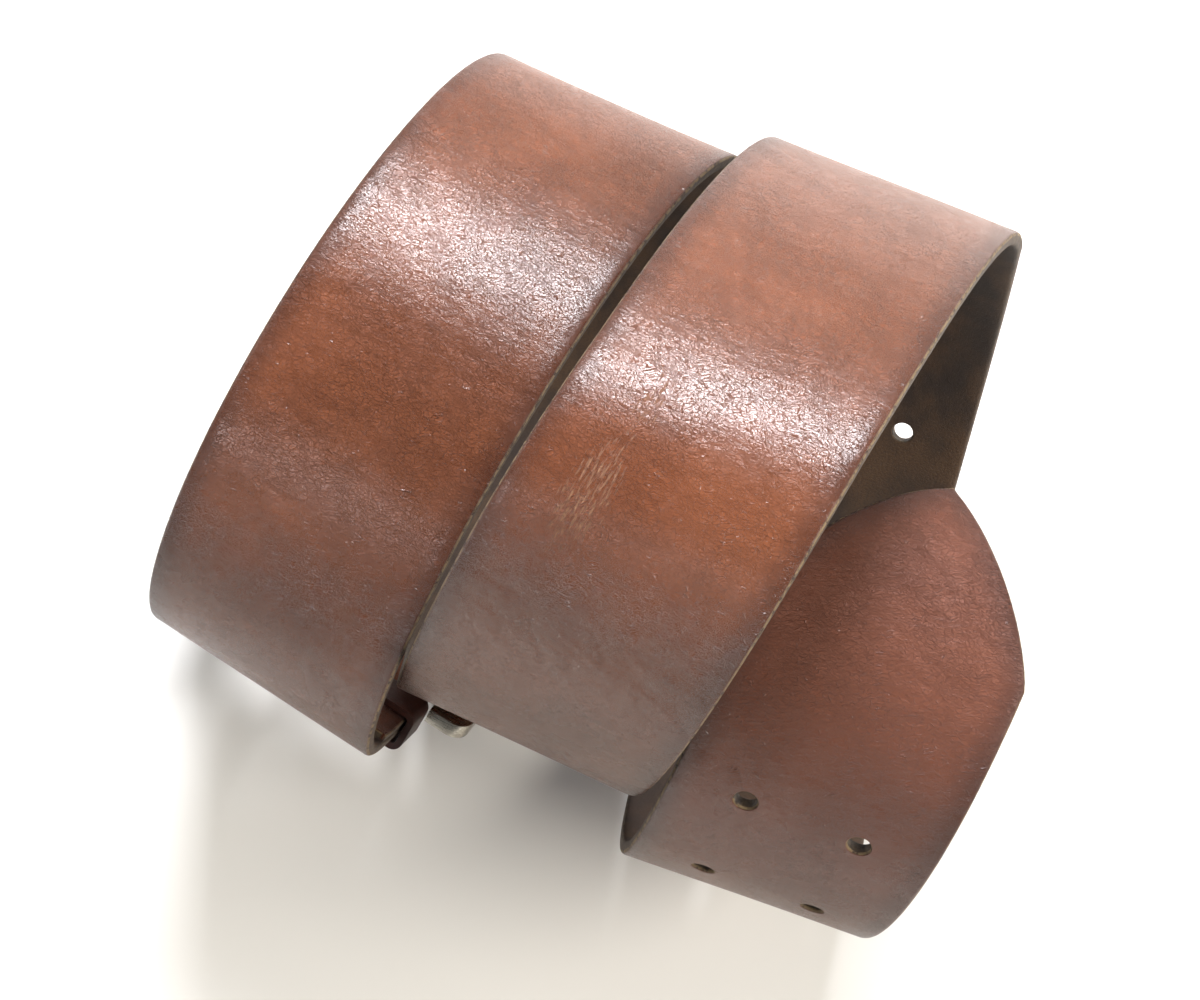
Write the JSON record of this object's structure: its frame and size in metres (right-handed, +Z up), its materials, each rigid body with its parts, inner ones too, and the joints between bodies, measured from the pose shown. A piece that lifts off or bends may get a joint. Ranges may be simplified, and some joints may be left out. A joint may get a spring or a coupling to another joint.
{
  "type": "leather belt",
  "caption": "Wide single-ply leather belt with a two-prong buckle and keeper, wound into a loose coil that lies on its side.",
  "frame": {"origin": "middle of the coiled belt's footprint, on the surface that it lies on", "axes": "+X along the coil's axis towards the tip's end, +Z up, +Y away from the side where the tip is"},
  "size_m": [0.1866, 0.1596, 0.1787],
  "materials": {
    "leather": "semi-gloss, waxed grain with fine cross creases",
    "dark_leather": "satin",
    "nickel": "satin nickel plate",
    "steel": "satin"
  },
  "bodies": {
    "strap": {"strap": "leather", "rivet_posts": "steel", "rivet_caps": "nickel"},
    "buckle": {"buckle_frame": "nickel", "heel_bar": "steel"},
    "left_prong": {"prong_left": "steel"},
    "right_prong": {"prong_right": "steel"},
    "keeper": {"keeper_loop": "dark_leather", "keeper_staple": "steel"}
  },
  "joints": [
    {"name": "frame_hinge", "type": "hinge", "parent": "strap", "child": "buckle", "pos_m": [-0.05208, -0.0546, 0.03192], "axis": [-0.9877, 0.1564, 0], "range_deg": [-3, 35]},
    {"name": "left_prong_hinge", "type": "hinge", "parent": "buckle", "child": "left_prong", "pos_m": [-0.05208, -0.0546, 0.03192], "axis": [-0.9877, 0.1564, 0], "range_deg": [0, 65]},
    {"name": "right_prong_hinge", "type": "hinge", "parent": "buckle", "child": "right_prong", "pos_m": [-0.05208, -0.0546, 0.03192], "axis": [-0.9877, 0.1564, 0], "range_deg": [0, 65]},
    {"name": "keeper_slide", "type": "slide", "parent": "strap", "child": "keeper", "axis": [-0.0661, -0.4174, 0.9063], "range_m": [-0.002, 0.002]}
  ]
}
